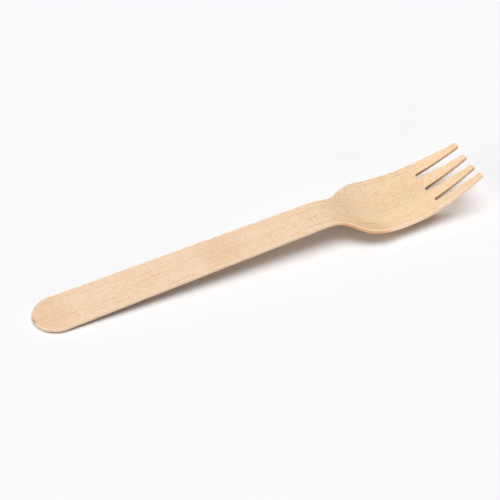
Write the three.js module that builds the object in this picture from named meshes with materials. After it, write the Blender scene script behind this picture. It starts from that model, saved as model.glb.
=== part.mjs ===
// A disposable wooden fork: birch veneer die-cut to an outline, pressed hot to shape, edges sanded.
// Built in millimetres. x runs from the handle's end to the tine tips, y across, z up from the table.
import * as THREE from "three";

// The sheet
const LENGTH = 159.6;
const THICKNESS = 1.38;
const EDGE_RADIUS = 0.3;

// The outline. Runs are lengths along x, counted back from the tine tips, between corners that are
// then rounded. Widths are the full width of the blank at each corner.
const HANDLE_END_RADIUS = 8.35;
const NECK_WIDTH = 13.14;
const NECK_FILLET = 8.7;
const SHOULDER_RUN = 8.5;
const SHOULDER_WIDTH = 27.95;
const SHOULDER_RADIUS = 13.3;
const HEAD_RUN = 25.8;
const CHEEK_WIDTH = 25.1;
const CHEEK_RADIUS = 180;
const CHEEK_RUN = 15.3;

// The tines and the slots between them
const TINE_LENGTH = 16.5;
const TINE_TIP_WIDTH = 2;
const TINE_TIP_RADIUS = 0.85;
const SLOT_ROOT_WIDTH = 1.7;
const SLOT_TIP_WIDTH = 3.84;
const SLOT_ROOT_SPACING = 6.95;

// The press: the line of the top face along the middle, as runs between rounded bends counted back
// from the tine tips. Heights are above the bend at the bottom of the bowl.
const RAMP_RUN = 13.55;
const CREST_HEIGHT = 8.63;
const CREST_RADIUS = 18.4;
const BOWL_RUN = 22.3;
const BOWL_RADIUS = 18.5;
const SWEEP_HEIGHT = 3.21;
const SWEEP_RADIUS = 99;
const SWEEP_RUN = 16.1;
const TIP_HEIGHT = 10.98;

// The dish: the head is hollow across as well, most at the bowl and less at the tines
const BOWL_CROSS_RADIUS = 24.9;
const TINE_CROSS_RADIUS = 41.7;
const DISH_FADE_IN = 20.7;
const DISH_FADE_OUT = 18;
const DISH_END_TO_TIPS = 18.4;

// How finely the surfaces are divided
const COLUMNS_PER_TINE = 3;
const HANDLE_END_STEPS = 8;
const CORNER_STEPS = 4;
const EDGE_STEPS = 2;
const HANDLE_STEP = 8;
const HEAD_STEP = 1.5;
const TINE_STEP = 2;

const TINES = 4;
const SLOTS = TINES - 1;

// Birch veneer
const BIRCH = { color: 0xf0d1ab, roughness: 0.72, metalness: 0 };

// How far each corner's arc reaches along its two runs. Neighbouring arcs share a run too short for both.
function tangentLengths(corners) {
  const runs = corners.slice(1).map((corner, i) => corner.at.distanceTo(corners[i].at));
  const turns = corners.slice(1, -1).map((corner, i) => {
    const before = corner.at.clone().sub(corners[i].at);
    const after = corners[i + 2].at.clone().sub(corner.at);
    return Math.atan2(before.cross(after), before.dot(after));
  });
  const wanted = turns.map((turn, i) => corners[i + 1].radius * Math.tan(Math.abs(turn) / 2));
  const reach = [0, ...wanted, 0];
  const share = runs.map((run, i) => Math.min(1, run / (reach[i] + reach[i + 1])));
  return wanted.map((length, i) => ({
    turn: turns[i],
    length: length * Math.min(share[i], share[i + 1]),
  }));
}

// A line through corners, each rounded by an arc, as a height for every x.
function roundedLine(corners) {
  const arcs = tangentLengths(corners).map(({ turn, length }, i) => {
    const { at } = corners[i + 1];
    const before = at.clone().sub(corners[i].at).normalize();
    const after = corners[i + 2].at.clone().sub(at).normalize();
    const side = Math.sign(turn);
    const radius = length / Math.tan(Math.abs(turn) / 2);
    const from = at.clone().addScaledVector(before, -length);
    const to = at.clone().addScaledVector(after, length);
    const centre = new THREE.Vector2(-before.y, before.x).multiplyScalar(side * radius).add(from);
    return { from, to, centre, radius, side };
  });
  const ends = [corners[0].at, ...arcs.map((arc) => arc.to)];
  const starts = [...arcs.map((arc) => arc.from), corners.at(-1).at];
  const height = (x) => {
    const arc = arcs.find(({ from, to }) => x > from.x && x < to.x);
    if (arc) return arc.centre.y - arc.side * Math.sqrt(arc.radius ** 2 - (x - arc.centre.x) ** 2);
    const before = starts.slice(0, -1).filter((start) => x > start.x).length;
    return THREE.MathUtils.mapLinear(x, ends[before].x, starts[before].x, ends[before].y, starts[before].y);
  };
  return { height, arcs };
}

const corner = (x, y, radius = 0) => ({ at: new THREE.Vector2(x, y), radius });

// Half the outline's width at x: a half round, then the long taper, the neck, the shoulder and the cheek
const cheekX = LENGTH - CHEEK_RUN;
const shoulderX = cheekX - HEAD_RUN;
const neckX = shoulderX - SHOULDER_RUN;
const headTipWidth = TINES * TINE_TIP_WIDTH + SLOTS * SLOT_TIP_WIDTH;
const side = roundedLine([
  corner(HANDLE_END_RADIUS, HANDLE_END_RADIUS),
  corner(neckX, NECK_WIDTH / 2, NECK_FILLET),
  corner(shoulderX, SHOULDER_WIDTH / 2, SHOULDER_RADIUS),
  corner(cheekX, CHEEK_WIDTH / 2, CHEEK_RADIUS),
  corner(LENGTH, headTipWidth / 2),
]);

function halfWidth(x) {
  if (x < HANDLE_END_RADIUS) return Math.sqrt(x * (2 * HANDLE_END_RADIUS - x));
  return side.height(x);
}

// The top face along the middle. The handle's end lies level with the bottom of the bowl, so that the
// fork rests on those two.
const sweepX = LENGTH - SWEEP_RUN;
const bowlX = sweepX - BOWL_RUN;
const crestX = bowlX - RAMP_RUN;

function pressedLine(handleEndHeight) {
  return roundedLine([
    corner(0, handleEndHeight),
    corner(crestX, CREST_HEIGHT, CREST_RADIUS),
    corner(bowlX, 0, BOWL_RADIUS),
    corner(sweepX, SWEEP_HEIGHT, SWEEP_RADIUS),
    corner(LENGTH, TIP_HEIGHT),
  ]);
}

function bowlBottom(line) {
  const [, bowl] = line.arcs;
  return bowl.centre.y - bowl.radius;
}

const middle = pressedLine(bowlBottom(pressedLine(0)));

// How strongly the face is hollowed across at x, as the curvature of its cross-section
const dishFadeOutX = LENGTH - DISH_END_TO_TIPS - DISH_FADE_OUT;
const dishFadeInX = dishFadeOutX - DISH_FADE_IN;

function dishCurvature(x) {
  const deep = 1 / BOWL_CROSS_RADIUS;
  const shallow = 1 / TINE_CROSS_RADIUS;
  const risen = THREE.MathUtils.smoothstep(x, dishFadeInX, dishFadeOutX);
  const eased = THREE.MathUtils.smoothstep(x, dishFadeOutX, dishFadeOutX + DISH_FADE_OUT);
  return deep * risen - (deep - shallow) * eased;
}

const topHeight = (x, y) => middle.height(x) + (dishCurvature(x) * y ** 2) / 2;

// The point at a depth below the top face, measured square to the sheet
function pressed(x, y, depth) {
  const near = Math.cbrt(Number.EPSILON);
  const slopeX = (topHeight(x + near, y) - topHeight(x - near, y)) / (2 * near);
  const slopeY = dishCurvature(x) * y;
  const square = new THREE.Vector3(-slopeX, -slopeY, 1).normalize();
  return new THREE.Vector3(x, y, topHeight(x, y)).addScaledVector(square, -depth);
}

// Slots: one middle line each, splitting open at a round root
const rootX = LENGTH - TINE_LENGTH;
const rootRadius = SLOT_ROOT_WIDTH / 2;
const tipSpacing = TINE_TIP_WIDTH + SLOT_TIP_WIDTH;

function slotMiddle(slot, x) {
  const place = slot - (SLOTS - 1) / 2;
  if (x < rootX) return (place * SLOT_ROOT_SPACING * halfWidth(x)) / halfWidth(rootX);
  return place * THREE.MathUtils.mapLinear(x, rootX, LENGTH, SLOT_ROOT_SPACING, tipSpacing);
}

function slotHalfOpening(x) {
  const from = x - rootX;
  if (from <= 0) return 0;
  if (from < rootRadius) return Math.sqrt(from * (2 * rootRadius - from));
  return THREE.MathUtils.mapLinear(x, rootX + rootRadius, LENGTH, rootRadius, SLOT_TIP_WIDTH / 2);
}

// How much a tine's side has turned in at x, round the corner of its tip
function tipInset(x) {
  const into = x - (LENGTH - TINE_TIP_RADIUS);
  if (into <= 0) return 0;
  return TINE_TIP_RADIUS - Math.sqrt(Math.max(0, TINE_TIP_RADIUS ** 2 - into ** 2));
}

// The two sides of a tine, or of the strip of sheet that runs on into it
function tineSide(tine, upper, x) {
  const outermost = upper ? tine === TINES - 1 : tine === 0;
  const direction = upper ? 1 : -1;
  if (outermost) return direction * (halfWidth(x) - tipInset(x));
  const slot = upper ? tine : tine - 1;
  return slotMiddle(slot, x) - direction * (slotHalfOpening(x) + tipInset(x));
}

// Places along x where the sheet is divided, closer together round its ends and bends
function quarterTurn(steps) {
  return Array.from({ length: steps }, (_, i) => ((i / steps) * Math.PI) / 2);
}

function evenStations(from, to, step) {
  const count = Math.max(1, Math.ceil((to - from) / step));
  return Array.from({ length: count }, (_, i) => THREE.MathUtils.lerp(from, to, i / count));
}

function openingStations(start, radius, steps) {
  return quarterTurn(steps).map((angle) => start + radius * (1 - Math.cos(angle)));
}

function closingStations(start, radius, steps) {
  return quarterTurn(steps).map((angle) => start + radius * Math.sin(angle));
}

const bendStart = Math.min(middle.arcs[0].from.x, side.arcs[0].from.x);
const stations = [
  ...openingStations(0, HANDLE_END_RADIUS, HANDLE_END_STEPS),
  ...evenStations(HANDLE_END_RADIUS, bendStart, HANDLE_STEP),
  ...evenStations(bendStart, rootX, HEAD_STEP),
  ...openingStations(rootX, rootRadius, CORNER_STEPS),
  ...evenStations(rootX + rootRadius, LENGTH - TINE_TIP_RADIUS, TINE_STEP),
  ...closingStations(LENGTH - TINE_TIP_RADIUS, TINE_TIP_RADIUS, CORNER_STEPS),
  LENGTH,
];
const lastRow = stations.length - 1;
const rootRow = stations.indexOf(rootX);

// Every grid place on the blank has one key. The handle's end is a single point, and the strips of
// two neighbouring tines share a side up to the root of the slot between them.
function keyOf(row, tine, column) {
  if (row === 0) return "end";
  if (row <= rootRow && column === COLUMNS_PER_TINE && tine < TINES - 1) return keyOf(row, tine + 1, 0);
  return `${row}/${tine}/${column}`;
}

function placeOf(row, tine, column) {
  const x = stations[row];
  const y = THREE.MathUtils.lerp(
    tineSide(tine, false, x),
    tineSide(tine, true, x),
    column / COLUMNS_PER_TINE,
  );
  return new THREE.Vector2(x, y);
}

// The closed outline, anticlockwise from the handle's end
function outlinePlaces() {
  const places = [];
  const along = (tine, column, fromRow, toRow) => {
    const step = Math.sign(toRow - fromRow);
    for (let row = fromRow; row !== toRow + step; row += step) places.push([row, tine, column]);
  };
  along(0, 0, 0, lastRow);
  for (let tine = 0; tine < TINES; tine++) {
    for (let column = 1; column < COLUMNS_PER_TINE; column++) places.push([lastRow, tine, column]);
    const last = tine === TINES - 1;
    along(tine, COLUMNS_PER_TINE, lastRow, last ? 1 : rootRow);
    if (!last) along(tine + 1, 0, rootRow + 1, lastRow);
  }
  return places;
}

// The outline's points, each with the direction that faces out of the sheet
function outline() {
  const places = outlinePlaces();
  const points = places.map((place) => placeOf(...place));
  return places.map((place, i) => {
    const before = points.at(i - 1);
    const after = points[(i + 1) % points.length];
    const out = new THREE.Vector2(after.y - before.y, before.x - after.x).normalize();
    return { key: keyOf(...place), point: points[i], out };
  });
}

// The rounded edge from the top face to the bottom face, as steps in from the outline and down
function edgeProfile() {
  const quarter = [...quarterTurn(EDGE_STEPS), Math.PI / 2].map((angle) => ({
    inward: EDGE_RADIUS * (1 - Math.sin(angle)),
    depth: EDGE_RADIUS * (1 - Math.cos(angle)),
  }));
  const lower = quarter.map(({ inward, depth }) => ({ inward, depth: THICKNESS - depth })).reverse();
  return [...quarter, ...lower];
}

function forkGeometry() {
  const positions = [];
  const triangles = [];
  const addPoint = (point) => positions.push(...point) / 3 - 1;
  const addQuad = (a, b, c, d) => {
    if (a !== b && b !== c && a !== c) triangles.push(a, b, c);
    if (a !== c && c !== d && a !== d) triangles.push(a, c, d);
  };

  // Where each grid place lies once the rounded edge has taken its share of the outline
  const edge = outline();
  const inset = new Map(
    edge.map(({ key, point, out }) => [key, point.clone().addScaledVector(out, -EDGE_RADIUS)]),
  );
  const facePlace = (row, tine, column) => {
    const own = inset.get(keyOf(row, tine, column));
    if (own) return own;
    const lowerSide = inset.get(keyOf(row, tine, 0)) ?? placeOf(row, tine, 0);
    const upperSide = inset.get(keyOf(row, tine, COLUMNS_PER_TINE)) ?? placeOf(row, tine, COLUMNS_PER_TINE);
    return lowerSide.clone().lerp(upperSide, column / COLUMNS_PER_TINE);
  };

  // A face of the sheet at one depth, as a grid of points
  const makeFace = (depth, facesUp) => {
    const ids = new Map();
    const idAt = (row, tine, column) => {
      const key = keyOf(row, tine, column);
      if (!ids.has(key)) {
        const { x, y } = facePlace(row, tine, column);
        ids.set(key, addPoint(pressed(x, y, depth)));
      }
      return ids.get(key);
    };
    for (let row = 0; row < lastRow; row++)
      for (let tine = 0; tine < TINES; tine++)
        for (let column = 0; column < COLUMNS_PER_TINE; column++) {
          const corners = [
            idAt(row, tine, column),
            idAt(row + 1, tine, column),
            idAt(row + 1, tine, column + 1),
            idAt(row, tine, column + 1),
          ];
          addQuad(...(facesUp ? corners : corners.reverse()));
        }
    return ids;
  };
  const top = makeFace(0, true);
  const bottom = makeFace(THICKNESS, false);

  // The edge all round, from the top face's rim to the bottom face's
  const profile = edgeProfile();
  const rings = profile.map(({ inward, depth }, level) => {
    if (level === 0) return edge.map(({ key }) => top.get(key));
    if (level === profile.length - 1) return edge.map(({ key }) => bottom.get(key));
    return edge.map(({ point, out }) => {
      const { x, y } = point.clone().addScaledVector(out, -inward);
      return addPoint(pressed(x, y, depth));
    });
  });
  for (let level = 0; level < rings.length - 1; level++)
    edge.forEach((_, i) => {
      const next = (i + 1) % edge.length;
      addQuad(rings[level][i], rings[level + 1][i], rings[level + 1][next], rings[level][next]);
    });

  const geometry = new THREE.BufferGeometry();
  geometry.setAttribute("position", new THREE.Float32BufferAttribute(positions, 3));
  geometry.setIndex(triangles);
  geometry.computeVertexNormals();
  return geometry;
}

// The origin is under the middle of the fork, on the table
function standAtOrigin(geometry) {
  geometry.computeBoundingBox();
  const { min, max } = geometry.boundingBox;
  return geometry.translate(-(min.x + max.x) / 2, -(min.y + max.y) / 2, -min.z);
}

const fork = new THREE.Mesh(standAtOrigin(forkGeometry()), new THREE.MeshStandardMaterial(BIRCH));
fork.name = "fork";

const group = new THREE.Group();
group.add(fork);

export default group;
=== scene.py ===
"""A disposable birch fork on a pale studio floor, in metres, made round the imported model."""

import bpy
import numpy as np
from mathutils import Matrix, Vector


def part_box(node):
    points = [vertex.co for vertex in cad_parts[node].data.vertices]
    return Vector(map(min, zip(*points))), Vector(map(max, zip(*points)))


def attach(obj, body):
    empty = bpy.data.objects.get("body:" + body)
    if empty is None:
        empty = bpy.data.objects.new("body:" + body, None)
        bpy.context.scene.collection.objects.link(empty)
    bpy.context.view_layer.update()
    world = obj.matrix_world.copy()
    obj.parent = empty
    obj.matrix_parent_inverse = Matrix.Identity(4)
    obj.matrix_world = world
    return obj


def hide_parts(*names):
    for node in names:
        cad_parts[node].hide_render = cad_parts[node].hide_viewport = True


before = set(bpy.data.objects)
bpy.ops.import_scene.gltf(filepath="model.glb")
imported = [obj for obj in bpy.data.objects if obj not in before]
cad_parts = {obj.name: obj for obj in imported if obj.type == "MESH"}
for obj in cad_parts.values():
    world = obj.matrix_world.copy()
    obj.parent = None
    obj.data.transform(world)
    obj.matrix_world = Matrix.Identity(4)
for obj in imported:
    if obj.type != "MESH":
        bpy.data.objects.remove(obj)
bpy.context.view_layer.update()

MM = 0.001

# The sheet, in millimetres like every size of the fork below
LENGTH = 159.6
THICKNESS = 1.38
EDGE_RADIUS = 0.3

# The outline: runs along x are counted back from the tine tips, widths are full widths at the corners
HANDLE_END_RADIUS = 8.35
NECK_WIDTH, NECK_FILLET = 13.14, 8.7
SHOULDER_RUN, SHOULDER_WIDTH, SHOULDER_RADIUS = 8.5, 27.95, 13.3
HEAD_RUN, CHEEK_WIDTH, CHEEK_RADIUS, CHEEK_RUN = 25.8, 25.1, 180, 15.3

# The tines and the slots between them
TINES = 4
TINE_LENGTH, TINE_TIP_WIDTH, TINE_TIP_RADIUS = 16.5, 2.0, 0.85
SLOT_ROOT_WIDTH, SLOT_TIP_WIDTH, SLOT_ROOT_SPACING = 1.7, 3.84, 6.95

# The press, as heights of the top face above the bend at the bottom of the bowl
RAMP_RUN, CREST_HEIGHT, CREST_RADIUS = 13.55, 8.63, 18.4
BOWL_RUN, BOWL_RADIUS = 22.3, 18.5
SWEEP_RUN, SWEEP_HEIGHT, SWEEP_RADIUS = 16.1, 3.21, 99
TIP_HEIGHT = 10.98

# The dish across the head
BOWL_CROSS_RADIUS, TINE_CROSS_RADIUS = 24.9, 41.7
DISH_FADE_IN, DISH_FADE_OUT, DISH_END_TO_TIPS = 20.7, 18, 18.4

# The mesh's fineness
COLUMNS_PER_TINE = 12
HANDLE_STEP, HEAD_STEP, TINE_STEP = 1.2, 0.45, 0.35
HANDLE_END_STEPS, CORNER_STEPS, EDGE_STEPS, WALL_STEPS = 28, 12, 6, 6
WELD = 0.002

# Places along x that follow from the runs
CHEEK_X = LENGTH - CHEEK_RUN
SHOULDER_X = CHEEK_X - HEAD_RUN
NECK_X = SHOULDER_X - SHOULDER_RUN
SWEEP_X = LENGTH - SWEEP_RUN
BOWL_X = SWEEP_X - BOWL_RUN
CREST_X = BOWL_X - RAMP_RUN
DISH_FADE_OUT_X = LENGTH - DISH_END_TO_TIPS - DISH_FADE_OUT
DISH_FADE_IN_X = DISH_FADE_OUT_X - DISH_FADE_IN
ROOT_X = LENGTH - TINE_LENGTH

# Widths that follow from the tines and the slots
HEAD_TIP_WIDTH = TINES * TINE_TIP_WIDTH + (TINES - 1) * SLOT_TIP_WIDTH
ROOT_RADIUS = SLOT_ROOT_WIDTH / 2

# The camera, found by fitting the outline to the photograph
CAMERA_AZIMUTH, CAMERA_ELEVATION, CAMERA_ROLL = -24.50, 39.54, -1.32
CAMERA_DISTANCE, CAMERA_LENS = 1.0646, 230.4
CAMERA_TARGET = (-0.0012, 0.00278, 0)
FILM_WIDTH, NEAREST, FARTHEST = 36, 0.05, 100

# The studio: the floor in metres, then each light's direction, spread in degrees and strength
FLOOR_SIZE, FLOOR_STEPS = 8, 64
FLOOR_LEVEL_RADIUS, FLOOR_RISE = 1.2, 0.21
FLOOR_ROUGHNESS = 0.9
OVERHEAD_FROM, OVERHEAD_SPREAD, OVERHEAD_STRENGTH = (0.16, 0.02, 1), 56, 2.36
SIDE_FROM, SIDE_SPREAD, SIDE_STRENGTH = (-0.87, -0.2, 0.4), 30, 0.55
LOW_FROM, LOW_SPREAD, LOW_STRENGTH = (-0.3, -0.94, 0.14), 12, 0.32
SURROUND_STRENGTH = 0.24
SURROUND_COLOR, LAMP_COLOR = (1.01, 0.95, 1.05, 1), (1, 1.018, 0.985)
PRINT_GAMMA = 0.8


def rounded_line(corners):
    """Height as a function of x along a line of corners (x, y, radius), each rounded by a tangent arc.

    The arc at a corner that turns by t reaches radius * tan(t / 2) along both runs, and two arcs share
    a run that is too short for both. On an arc the height is the centre's, less or plus
    sqrt(radius^2 - dx^2); on a run it is linear.
    """
    at = np.array([corner[:2] for corner in corners], float)
    radii = np.array([corner[2] for corner in corners[1:-1]], float)
    runs = np.diff(at, axis=0)
    lengths = np.hypot(*runs.T)
    along = runs / lengths[:, None]
    turns = np.arctan2(
        along[:-1, 0] * along[1:, 1] - along[:-1, 1] * along[1:, 0],
        (along[:-1] * along[1:]).sum(1),
    )
    tangents = np.tan(np.abs(turns) / 2)
    reach = np.concatenate([[0], radii * tangents, [0]])
    share = np.minimum(1, lengths / (reach[:-1] + reach[1:]))
    reach = reach[1:-1] * np.minimum(share[:-1], share[1:])
    radii = reach / tangents
    side = np.sign(turns)
    start = at[1:-1] - along[:-1] * reach[:, None]
    end = at[1:-1] + along[1:] * reach[:, None]
    centre = start + (side * radii)[:, None] * np.c_[-along[:-1, 1], along[:-1, 0]]
    slopes = runs[:, 1] / runs[:, 0]

    def height(x):
        run = np.searchsorted(at[1:-1, 0], x)
        result = at[run, 1] + slopes[run] * (x - at[run, 0])
        for i, radius in enumerate(radii):
            arc = centre[i, 1] - side[i] * np.sqrt(np.clip(radius**2 - (x - centre[i, 0]) ** 2, 0, None))
            result = np.where((x > start[i, 0]) & (x < end[i, 0]), arc, result)
        return result

    return height, centre, radii


side_line, _, _ = rounded_line(
    [
        (HANDLE_END_RADIUS, HANDLE_END_RADIUS, 0),
        (NECK_X, NECK_WIDTH / 2, NECK_FILLET),
        (SHOULDER_X, SHOULDER_WIDTH / 2, SHOULDER_RADIUS),
        (CHEEK_X, CHEEK_WIDTH / 2, CHEEK_RADIUS),
        (LENGTH, HEAD_TIP_WIDTH / 2, 0),
    ]
)


def half_width(x):
    """Half the blank's width at x: a half circle at the handle's end, then the rounded line."""
    end = np.sqrt(np.clip(x * (2 * HANDLE_END_RADIUS - x), 0, None))
    return np.where(x < HANDLE_END_RADIUS, end, side_line(x))


def pressed_line(handle_end_height):
    """The top face along the middle, for a handle whose end lies at that height."""
    return rounded_line(
        [
            (0, handle_end_height, 0),
            (CREST_X, CREST_HEIGHT, CREST_RADIUS),
            (BOWL_X, 0, BOWL_RADIUS),
            (SWEEP_X, SWEEP_HEIGHT, SWEEP_RADIUS),
            (LENGTH, TIP_HEIGHT, 0),
        ]
    )


_, bend_centres, bend_radii = pressed_line(0)
BOWL_BOTTOM = bend_centres[1, 1] - bend_radii[1]
middle_line, _, _ = pressed_line(BOWL_BOTTOM)


def smooth(x, low, high):
    """0 below low and 1 above high, with the cubic 3 s^2 - 2 s^3 between."""
    s = np.clip((x - low) / (high - low), 0, 1)
    return s * s * (3 - 2 * s)


def top_height(x, y):
    """Height of the top face: the middle line, plus half the dish's curvature times y squared."""
    risen = smooth(x, DISH_FADE_IN_X, DISH_FADE_OUT_X) / BOWL_CROSS_RADIUS
    eased = smooth(x, DISH_FADE_OUT_X, DISH_FADE_OUT_X + DISH_FADE_OUT)
    curvature = risen - (1 / BOWL_CROSS_RADIUS - 1 / TINE_CROSS_RADIUS) * eased
    return middle_line(x) - BOWL_BOTTOM + THICKNESS + curvature * y**2 / 2


def pressed(x, y, depth):
    """Places at a depth below the top face, measured square to it, as an array of x, y, z."""
    near = np.cbrt(np.finfo(float).eps)
    slope_x = (top_height(x + near, y) - top_height(x - near, y)) / (2 * near)
    slope_y = (top_height(x, y + near) - top_height(x, y - near)) / (2 * near)
    square = np.stack([-slope_x, -slope_y, np.ones_like(slope_x)], -1)
    square /= np.linalg.norm(square, axis=-1, keepdims=True)
    return np.stack([x, y, top_height(x, y)], -1) - square * depth[..., None]


def stations():
    """Places along x, closer together round the ends of the handle, the slots and the tines."""

    def even(start, end, step):
        return np.linspace(start, end, int(np.ceil((end - start) / step)), endpoint=False)

    def quarter(steps):
        return np.linspace(0, np.pi / 2, steps, endpoint=False)

    corner_x = LENGTH - TINE_TIP_RADIUS
    bend_x = min(NECK_X - NECK_FILLET, CREST_X - CREST_RADIUS)
    parts = [
        HANDLE_END_RADIUS * (1 - np.cos(quarter(HANDLE_END_STEPS))),
        even(HANDLE_END_RADIUS, bend_x, HANDLE_STEP),
        even(bend_x, ROOT_X, HEAD_STEP),
        ROOT_X + ROOT_RADIUS * (1 - np.cos(quarter(CORNER_STEPS))),
        even(ROOT_X + ROOT_RADIUS, corner_x, TINE_STEP),
        corner_x + TINE_TIP_RADIUS * np.sin(quarter(CORNER_STEPS)),
        [LENGTH],
    ]
    return np.concatenate(parts), sum(len(part) for part in parts[:3])


def tine_sides(x):
    """The y of both sides of each tine's strip at every x, as an array [x, tine, lower or upper].

    Slots lie on lines that spread with the head and then run to the gaps between the tips. Each opens
    as a circle at its root and widens evenly. At the tips the sides turn in round a small radius.
    """
    places = np.arange(1, TINES) - TINES / 2
    before = SLOT_ROOT_SPACING * half_width(x) / half_width(np.array(ROOT_X))
    share = (x - ROOT_X) / TINE_LENGTH
    after = SLOT_ROOT_SPACING + (TINE_TIP_WIDTH + SLOT_TIP_WIDTH - SLOT_ROOT_SPACING) * share
    middles = np.where(x < ROOT_X, before, after)[:, None] * places
    into = x - ROOT_X
    root = np.sqrt(np.clip(into * (2 * ROOT_RADIUS - into), 0, None))
    widening = (SLOT_TIP_WIDTH / 2 - ROOT_RADIUS) / (TINE_LENGTH - ROOT_RADIUS)
    opening = np.where(into < ROOT_RADIUS, root, ROOT_RADIUS + widening * (into - ROOT_RADIUS))
    turned = np.clip(x - (LENGTH - TINE_TIP_RADIUS), 0, None)
    inset = TINE_TIP_RADIUS - np.sqrt(np.clip(TINE_TIP_RADIUS**2 - turned**2, 0, None))
    edge = half_width(x)[:, None]
    gap = (opening + inset)[:, None]
    inset = inset[:, None]
    lower = np.hstack([inset - edge, middles + gap])
    upper = np.hstack([middles - gap, edge - inset])
    return np.stack([lower, upper], -1)


def outline_places(rows, root_row):
    """Row, tine and column of each point of the closed outline, anticlockwise from the handle's end."""
    last = rows - 1
    strips = [(np.arange(0, rows), 0, 0)]
    for tine in range(TINES):
        inner = np.arange(1, COLUMNS_PER_TINE)
        strips.append((np.full(inner.shape, last), tine, inner))
        stop = root_row if tine < TINES - 1 else 1
        strips.append((np.arange(last, stop - 1, -1), tine, COLUMNS_PER_TINE))
        if tine < TINES - 1:
            strips.append((np.arange(root_row + 1, rows), tine + 1, 0))
    return [
        np.concatenate([np.broadcast_to(strip[part], strip[0].shape) for strip in strips])
        for part in range(3)
    ]


def edge_profile():
    """The edge's section, in from the outline and down: a quarter round, a wall, a quarter round."""
    angle = np.linspace(0, np.pi / 2, EDGE_STEPS + 1)
    inward = EDGE_RADIUS * (1 - np.sin(angle))
    depth = EDGE_RADIUS * (1 - np.cos(angle))
    wall = np.linspace(EDGE_RADIUS, THICKNESS - EDGE_RADIUS, WALL_STEPS + 1)[1:-1]
    return (
        np.concatenate([inward, np.zeros_like(wall), inward[::-1]]),
        np.concatenate([depth, wall, THICKNESS - depth[::-1]]),
    )


def grid_quads(index):
    """The quads of a grid of vertex numbers, corner by corner."""
    quads = np.stack([index[:-1, :-1], index[1:, :-1], index[1:, 1:], index[:-1, 1:]], -1)
    return quads.reshape(-1, 4)


def fork_surface():
    """The whole fork: vertices, quads, each vertex's place on the flat blank and its edge marks.

    Each tine's strip of the blank, carried back to the handle's end, is a grid between its two sides.
    The grids of the top and the underside end where the rounded edge begins, and the edge's section
    is carried along the outline between them. Every place on the blank is then pressed to shape.
    """
    x, root_row = stations()
    sides = tine_sides(x)
    share = np.linspace(0, 1, COLUMNS_PER_TINE + 1)
    blank_y = sides[..., :1] * (1 - share) + sides[..., 1:] * share
    blank_x = np.broadcast_to(x[:, None, None], blank_y.shape)
    row, tine, column = outline_places(len(x), root_row)
    rim = np.c_[blank_x[row, tine, column], blank_y[row, tine, column]]
    out = np.roll(rim, -1, 0) - np.roll(rim, 1, 0)
    out = np.c_[out[:, 1], -out[:, 0]] / np.hypot(*out.T)[:, None]

    # The faces end where the rounded edge begins
    places = np.stack([blank_x, blank_y], -1)
    inner_rim = rim - EDGE_RADIUS * out
    places[row, tine, column] = inner_rim
    shared = (row <= root_row) & (column == COLUMNS_PER_TINE) & (tine < TINES - 1)
    places[row[shared], tine[shared] + 1, 0] = places[row[shared], tine[shared], column[shared]]
    places[0] = places[0, 0, 0]
    weight = share[:, None]
    places = places[:, :, :1] * (1 - weight) + places[:, :, -1:] * weight
    places[row, tine, column] = inner_rim

    points, quads, blanks = [], [], []
    count = 0
    for depth, flip in ((0, 1), (THICKNESS, -1)):
        at_depth = np.full(places.shape[:-1], float(depth))
        points.append(pressed(places[..., 0], places[..., 1], at_depth).reshape(-1, 3))
        blanks.append(np.concatenate([places, at_depth[..., None]], -1).reshape(-1, 3))
        index = count + np.arange(at_depth.size).reshape(at_depth.shape)
        quads += [grid_quads(index[:, tine_number])[:, ::flip] for tine_number in range(TINES)]
        count += at_depth.size
    faces_end = count

    inward, depth = edge_profile()
    ring = rim[None] - inward[:, None, None] * out[None]
    at_depth = np.broadcast_to(depth[:, None], ring.shape[:-1])
    points.append(pressed(ring[..., 0], ring[..., 1], at_depth).reshape(-1, 3))
    blanks.append(np.concatenate([ring, at_depth[..., None]], -1).reshape(-1, 3))
    index = count + np.arange(at_depth.size).reshape(at_depth.shape)
    quads.append(grid_quads(np.hstack([index, index[:, :1]])))
    points, blanks = np.concatenate(points), np.concatenate(blanks)
    edge_mark = np.zeros(len(points))
    edge_mark[faces_end:] = np.repeat(1 - inward / EDGE_RADIUS, len(rim))
    in_slot = ((column == 0) & (tine > 0)) | ((column == COLUMNS_PER_TINE) & (tine < TINES - 1))
    slot_mark = np.zeros(len(points))
    slot_mark[faces_end:] = np.tile(in_slot * (row > root_row - 1), len(inward))
    return points, np.concatenate(quads), blanks, edge_mark, slot_mark


def weld(points, quads):
    """The first vertex of each place, and the quads and triangles between the joined places.

    Vertices are joined where they round to the same multiple of WELD. A quad with one side that shrinks
    to a point becomes a triangle, and one with two such sides vanishes.
    """
    keys = np.round(points / WELD).astype(np.int64)
    _, first, number = np.unique(keys, axis=0, return_index=True, return_inverse=True)
    quads = number.reshape(-1)[quads]
    shrunk = quads == np.roll(quads, -1, 1)
    one_side = shrunk.sum(1) == 1
    triangles = quads[one_side][~shrunk[one_side]].reshape(-1, 3)
    return first, quads[~shrunk.any(1)], triangles


def make_fork():
    """The fork's mesh, filling the CAD fork's box, with the blank's coordinates kept for the grain."""
    points, quads, blanks, *marks = fork_surface()
    first, quads, triangles = weld(points, quads)
    points, blanks = points[first], blanks[first]
    low, high = np.array(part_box("fork"))
    points = low + (points - points.min(0)) / np.ptp(points, 0) * (high - low)
    mesh = bpy.data.meshes.new("wooden_fork")
    mesh.from_pydata(points.tolist(), [], quads.tolist() + triangles.tolist())
    mesh.attributes.new("blank", "FLOAT_VECTOR", "POINT").data.foreach_set("vector", blanks.ravel())
    for name, mark in zip(("edge", "slot"), marks):
        mesh.attributes.new(name, "FLOAT", "POINT").data.foreach_set("value", mark[first])
    mesh.shade_smooth()
    mesh.validate()
    fork = bpy.data.objects.new("wooden_fork", mesh)
    bpy.context.collection.objects.link(fork)
    return fork


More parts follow.
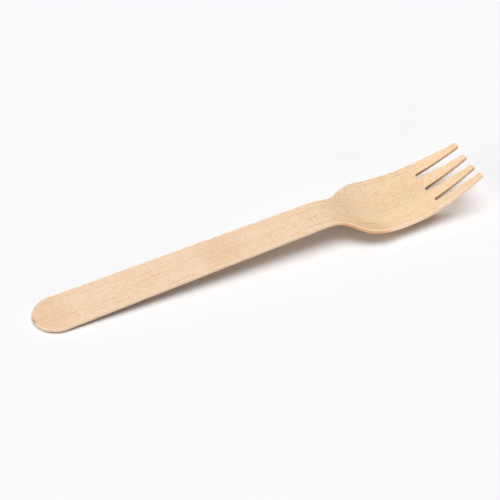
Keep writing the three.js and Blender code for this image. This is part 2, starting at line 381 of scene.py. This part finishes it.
class Socket:
    """A number that varies over a surface: an output socket whose arithmetic adds Math nodes."""

    def __init__(self, finish, socket):
        self.finish = finish
        self.socket = socket

    def math(self, operation, *values, first=None):
        values = (self if first is None else first, *values)
        return self.finish.node("ShaderNodeMath", {"operation": operation}, dict(enumerate(values)))

    def __add__(self, other):
        return self.math("ADD", other)

    __radd__ = __add__

    def __sub__(self, other):
        return self.math("SUBTRACT", other)

    def __rsub__(self, other):
        return self.math("SUBTRACT", self, first=other)

    def __mul__(self, other):
        return self.math("MULTIPLY", other)

    __rmul__ = __mul__

    def __abs__(self):
        return self.math("ABSOLUTE")


class Finish:
    """A material and the few kinds of node that it is made of."""

    def __init__(self, name):
        self.material = bpy.data.materials.new(name)
        self.material.use_nodes = True
        self.tree = self.material.node_tree
        self.shader = self.tree.nodes["Principled BSDF"]

    def node(self, kind, settings=None, inputs=None, output=0):
        """One node of a kind, with its settings made first, then its sockets' values or links."""
        node = self.tree.nodes.new(kind)
        for name, value in (settings or {}).items():
            setattr(node, name, value)
        for name, value in (inputs or {}).items():
            self.put(node.inputs[name], value)
        return Socket(self, node.outputs[output])

    def put(self, target, value):
        if isinstance(value, Socket):
            self.tree.links.new(value.socket, target)
        else:
            target.default_value = value

    def scaled(self, vector, factors):
        """The vector with each of its three parts multiplied by its own factor."""
        inputs = {0: vector, 1: factors}
        return self.node("ShaderNodeVectorMath", {"operation": "MULTIPLY"}, inputs)

    def noise(self, vector, cell, detail=2.0, roughness=0.5):
        """Noise from about 0 to 1 whose features measure cell = (along, across, deep) millimetres."""
        inputs = {"Vector": self.scaled(vector, [1 / size for size in cell]), "Scale": 1.0}
        return self.node("ShaderNodeTexNoise", {}, {**inputs, "Detail": detail, "Roughness": roughness})

    def step(self, value, low, high):
        """0 below low and 1 above high, smooth between."""
        inputs = {"Value": value, "From Min": low, "From Max": high}
        return self.node("ShaderNodeMapRange", {"interpolation_type": "SMOOTHSTEP"}, inputs)

    def mix(self, factor, first, second):
        """The first colour where factor is 0, the second where it is 1."""
        inputs = {"Factor": factor, 6: first, 7: second}
        return self.node("ShaderNodeMix", {"data_type": "RGBA"}, inputs, output=2)

    def tint(self, factor, color, by):
        """The colour multiplied by another, as far as factor says."""
        inputs = {"Factor": factor, 6: color, 7: by}
        settings = {"data_type": "RGBA", "blend_type": "MULTIPLY"}
        return self.node("ShaderNodeMix", settings, inputs, output=2)

    def bump(self, height, distance):
        """The normal of a surface whose relief is height times distance, in metres."""
        return self.node("ShaderNodeBump", {}, {"Height": height, "Distance": distance})


def colour(red, green, blue):
    """A colour given as it looks on screen, 0 to 255, in the linear numbers that shaders take."""
    seen = np.array([red, green, blue]) / 255
    linear = np.where(seen <= 0.04045, seen / 12.92, ((seen + 0.055) / 1.055) ** 2.4)
    return (*linear.tolist(), 1.0)


# Birch's colours, the painted light and shade laid on the wood, and the floor's
CREAM = colour(246, 226, 207)
GOLD = colour(245, 220, 193)
# Painted highlight: the paler colour laid on the tines and the head's near rim
PALE_PAINTED_LIGHT = colour(253, 231, 205)
# Painted shade: a faint darker tint over the head
HEAD_PAINTED_SHADE = colour(251, 254, 253)
STREAK = colour(240, 224, 196)
PORE = colour(232, 214, 186)
FLECK = colour(212, 160, 104)
# The sanded edge's paler colour, which on the near side is also a painted highlight
PALE_EDGE_AND_HIGHLIGHT = colour(255, 233, 207)
LAYER_LINE = colour(228, 204, 176)
# Painted shade: the brown laid on the walls inside the slots
SLOT_WALL_SHADE = colour(182, 142, 92)
# Stains on the edge, and also the painted shade round the bend into the bowl
EDGE_STAIN_AND_SHADE = colour(237, 215, 190)
FLOOR_COLOR = colour(243, 243, 245)

# The grain: the size of its marks along, across and down through the sheet in millimetres, the noise's
# detail and roughness, the noise where a mark begins and where it is full, its strength and its colour
GRAIN = {
    "mottle": ((2.4, 1.3, 1.3), 2.0, 0.5, (0.3, 0.7), 0.25, STREAK),
    "streaks": ((30, 0.75, 0.9), 3.0, 0.6, (0.52, 0.72), 0.6, STREAK),
    "dashes": ((3.2, 0.3, 0.4), 2.0, 0.5, (0.54, 0.7), 0.25, STREAK),
    "speckle": ((0.8, 0.45, 0.5), 3.0, 0.7, (0.36, 0.66), 0.5, PORE),
}
RELIEF = {"mottle": 0.5, "dashes": 0.4, "speckle": 0.8}
RELIEF_DEPTH = 0.06 * MM
ROUGHNESS, SPECKLE_ROUGHNESS, SHINE = 0.6, 0.2, 0.3

# Broad golden clouds, and how much they and the press's heat colour the handle and the head
CLOUD_CELL, CLOUD_DETAIL, CLOUDS = (26, 8, 6), 3.0, (0.3, 0.7)
HANDLE_CLOUDS, HEAD_CLOUDS, HEAD_GOLD = 0.35, 0.5, 0.4

# Where a tone begins and where it is full: along the blank, across it and down through the sheet
HEAD_ALONG = (NECK_X - 9, NECK_X)
TINES_ALONG = (ROOT_X - 6, ROOT_X + 10)
NEAR_RIM_ALONG, NEAR_RIM_ACROSS = (SHOULDER_X, SHOULDER_X + 9), (1.0, -8.0)

# The edge is paler where sanded, and a painted highlight makes it paler on the near side than on the
# far; painted shade darkens it in the slots, less towards the tips
NEAR_SIDE_ACROSS, FAR_SIDE_EDGE_SHARE = (3.0, -3.0), 0.35
SLOT_SHADE_DEPTH, SLOT_SHADE = (0.0, 0.22), 0.85
TIPS_ALONG, TIP_FADE = (ROOT_X - 3, LENGTH - 4), 0.7
LINE_FROM_MIDDLE, LINE_STRENGTH = (0.2, 0.02), 0.3

# Stains low on the edge, and painted shade round the bend into the bowl, on the low wall and on the near
# top face
STAIN_CELL, STAIN_DETAIL, STAINS, STAIN_STRENGTH = (7, 5, 1.5), 2.0, (0.5, 0.7), 0.4
LOW_WALL_DEPTH = (0.1, 0.8)
BEND_X, BEND_REACH = SHOULDER_X - 4, (12.0, 3.0)
BEND_ACROSS, BEND_SHADE_STRENGTH = (-3.0, -9.0), 0.25

# Pith flecks and two broad patches: place along and across the blank, half length and half width in
# millimetres, and strength. A mark is full up to FLECK_FULL of its squared radius and ends at FLECK_END.
FLECK_END, FLECK_FULL = 1.2, 0.2
FLECKS = [
    (99.4, -1.15, 1.0, 0.16, 0.75),
    (101.4, -0.6, 0.9, 0.17, 0.8),
    (107.1, -3.6, 1.1, 0.25, 0.45),
    (89.6, -0.75, 1.2, 0.2, 0.4),
    (93.1, -1.85, 1.3, 0.15, 0.4),
    (92.6, -6.1, 0.35, 0.22, 0.7),
    (92.4, 6.25, 1.0, 0.2, 0.6),
    (109.4, -1.2, 0.8, 0.25, 0.4),
    (147.3, 9.9, 0.2, 0.2, 0.8),
    (68.0, -0.75, 6.5, 0.17, 0.3),
    (118.0, -6.0, 4.0, 0.6, 0.2),
    (66.0, 0.0, 8.5, 8.5, 0.13),
    (0.0, 0.0, 14.0, 12.0, 0.14),
]


def face_colour(finish, blank, along, across):
    """Cream to golden wood: clouds along the sheet, a golden head with a faint painted shade, and a
    painted highlight that makes the tines and the head's near rim paler.
    """
    clouds = finish.step(finish.noise(blank, CLOUD_CELL, CLOUD_DETAIL), *CLOUDS)
    in_head = finish.step(along, *HEAD_ALONG)
    golden = clouds * (in_head * (HEAD_CLOUDS - HANDLE_CLOUDS) + HANDLE_CLOUDS) + in_head * HEAD_GOLD
    wood = finish.mix(golden, CREAM, GOLD)
    in_tines = finish.step(along, *TINES_ALONG)
    # painted shade: the head, short of the tines, tinted slightly darker
    wood = finish.tint(in_head - in_tines, wood, HEAD_PAINTED_SHADE)
    # painted highlight: the tines and the head's near rim are made paler
    near_rim_highlight = finish.step(across, *NEAR_RIM_ACROSS) * finish.step(along, *NEAR_RIM_ALONG)
    return finish.mix(in_tines + near_rim_highlight, wood, PALE_PAINTED_LIGHT)


def add_grain(finish, wood, blank):
    """The wood tinted by each layer of the grain in turn, and the layers' noises by name."""
    layers = {}
    for name, (cell, detail, roughness, marks, strength, tone) in GRAIN.items():
        layers[name] = finish.noise(blank, cell, detail, roughness)
        wood = finish.tint(finish.step(layers[name], *marks) * strength, wood, tone)
    return wood, layers


def add_flecks(finish, wood, along, across):
    """The wood with a soft ellipse for each fleck, by its squared radius (dx / a)^2 + (dy / b)^2."""
    for x, y, half_length, half_wide, strength in FLECKS:
        dx = (along - x) * (1 / half_length)
        dy = (across - y) * (1 / half_wide)
        mark = finish.step(dx * dx + dy * dy, FLECK_END, FLECK_FULL) * strength
        wood = finish.mix(mark, wood, FLECK)
    return wood


def add_edge(finish, wood, blank, along, across, deep):
    """The sanded edge: pale, with a painted highlight on the near side, painted shade in the slots, a
    layer line, low stains and painted shade round the bend.
    """
    edge = finish.node("ShaderNodeAttribute", {"attribute_name": "edge"}, output="Fac")
    slot = finish.node("ShaderNodeAttribute", {"attribute_name": "slot"}, output="Fac")
    # painted highlight: the pale edge is full on the near side and weaker on the far side
    near_side_highlight = finish.step(across, *NEAR_SIDE_ACROSS) * (1 - FAR_SIDE_EDGE_SHARE) + FAR_SIDE_EDGE_SHARE
    wood = finish.mix(edge * near_side_highlight, wood, PALE_EDGE_AND_HIGHLIGHT)
    # painted shade on the slots' walls, from the top rim down, lighter towards the tips where the slots
    # widen
    toward_tips = finish.step(along, *TIPS_ALONG)
    slot_shade = finish.step(deep, *SLOT_SHADE_DEPTH) * (1 - toward_tips * TIP_FADE)
    wood = finish.mix(edge * slot * slot_shade * SLOT_SHADE, wood, SLOT_WALL_SHADE)
    line = finish.step(abs(deep - THICKNESS / 2), *LINE_FROM_MIDDLE) * edge
    wood = finish.tint(line * LINE_STRENGTH, wood, LAYER_LINE)
    stains = finish.step(finish.noise(blank, STAIN_CELL, STAIN_DETAIL), *STAINS)
    low_wall = finish.step(deep, *LOW_WALL_DEPTH) * edge
    wood = finish.tint(stains * low_wall * STAIN_STRENGTH, wood, EDGE_STAIN_AND_SHADE)
    # painted shade: the low wall and the near top face made darker round the bend into the bowl
    bend_shade = finish.step(abs(along - BEND_X), *BEND_REACH)
    wood = finish.tint(bend_shade * low_wall, wood, EDGE_STAIN_AND_SHADE)
    return finish.tint(bend_shade * finish.step(across, *BEND_ACROSS) * BEND_SHADE_STRENGTH, wood, EDGE_STAIN_AND_SHADE)


def birch():
    """Bare birch veneer: fine speckle, short soft dashes and a few pith flecks along the grain."""
    finish = Finish("birch_veneer")
    blank = finish.node("ShaderNodeAttribute", {"attribute_name": "blank"}, output="Vector")
    along, across, deep = (
        finish.node("ShaderNodeSeparateXYZ", {}, {"Vector": blank}, output=axis) for axis in "XYZ"
    )
    wood = face_colour(finish, blank, along, across)
    wood, layers = add_grain(finish, wood, blank)
    wood = add_flecks(finish, wood, along, across)
    wood = add_edge(finish, wood, blank, along, across, deep)
    relief = sum(layers[name] * share for name, share in RELIEF.items())
    finish.put(finish.shader.inputs["Base Color"], wood)
    finish.put(finish.shader.inputs["Roughness"], ROUGHNESS + layers["speckle"] * SPECKLE_ROUGHNESS)
    finish.put(finish.shader.inputs["Normal"], finish.bump(relief, RELIEF_DEPTH))
    finish.shader.inputs["Specular IOR Level"].default_value = SHINE
    return finish.material


def floor_finish():
    """A matt, nearly white studio surface."""
    finish = Finish("studio_floor")
    finish.shader.inputs["Base Color"].default_value = FLOOR_COLOR
    finish.shader.inputs["Roughness"].default_value = FLOOR_ROUGHNESS
    finish.shader.inputs["Specular IOR Level"].default_value = 0.0
    return finish.material


def make_floor():
    """A seamless studio floor: a square grid that is level around the fork and rises behind it.

    The height is the rise times the smooth step of the distance from the middle, from the level
    radius to half the floor's size, so that a low view also ends in the pale floor.
    """
    half = FLOOR_SIZE / 2
    line = np.linspace(-half, half, FLOOR_STEPS + 1)
    x, y = np.meshgrid(line, line, indexing="ij")
    height = FLOOR_RISE * smooth(np.hypot(x, y), FLOOR_LEVEL_RADIUS, half)
    corners = np.stack([x, y, height], -1).reshape(-1, 3)
    quads = grid_quads(np.arange(len(corners)).reshape(x.shape))
    mesh = bpy.data.meshes.new("floor")
    mesh.from_pydata(corners.tolist(), [], quads.tolist())
    mesh.shade_smooth()
    floor = bpy.data.objects.new("floor", mesh)
    bpy.context.collection.objects.link(floor)
    floor.data.materials.append(floor_finish())


def make_light(name, source, spread, strength):
    """An even, far light that comes from the direction source, as wide as spread degrees."""
    light = bpy.data.lights.new(name, "SUN")
    light.energy = strength
    light.angle = np.radians(spread)
    light.color = LAMP_COLOR
    lamp = bpy.data.objects.new(name, light)
    lamp.rotation_euler = Vector(source).to_track_quat("Z", "Y").to_euler()
    bpy.context.collection.objects.link(lamp)


def make_surround():
    """The even glow of the studio's walls and ceiling."""
    world = bpy.data.worlds.new("studio")
    world.use_nodes = True
    background = world.node_tree.nodes["Background"]
    background.inputs["Color"].default_value = SURROUND_COLOR
    background.inputs["Strength"].default_value = SURROUND_STRENGTH
    bpy.context.scene.world = world


def make_camera():
    """A long lens on the line from the target at the photograph's azimuth, elevation and roll."""
    azimuth, elevation, roll = np.radians([CAMERA_AZIMUTH, CAMERA_ELEVATION, CAMERA_ROLL])
    back = Vector(
        (
            np.sin(azimuth) * np.cos(elevation),
            -np.cos(azimuth) * np.cos(elevation),
            np.sin(elevation),
        )
    )
    right = Vector((0, 0, 1)).cross(back).normalized()
    up = back.cross(right)
    turn = Matrix.Rotation(roll, 3, back)
    axes = Matrix((turn @ right, turn @ up, back)).transposed().to_4x4()
    lens = bpy.data.cameras.new("camera")
    lens.sensor_width = FILM_WIDTH
    lens.lens = CAMERA_LENS
    lens.clip_start = NEAREST
    lens.clip_end = FARTHEST
    camera = bpy.data.objects.new("camera", lens)
    place = Vector(CAMERA_TARGET) + back * CAMERA_DISTANCE
    camera.matrix_world = Matrix.Translation(place) @ axes
    bpy.context.collection.objects.link(camera)
    bpy.context.scene.camera = camera


make_camera()
make_floor()
make_surround()
make_light("overhead", OVERHEAD_FROM, OVERHEAD_SPREAD, OVERHEAD_STRENGTH)
make_light("side", SIDE_FROM, SIDE_SPREAD, SIDE_STRENGTH)
make_light("low_front", LOW_FROM, LOW_SPREAD, LOW_STRENGTH)
view = bpy.context.scene.view_settings
view.view_transform = "Standard"
view.gamma = PRINT_GAMMA

fork = make_fork()
fork.data.materials.append(birch())
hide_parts("fork")
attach(fork, "root")
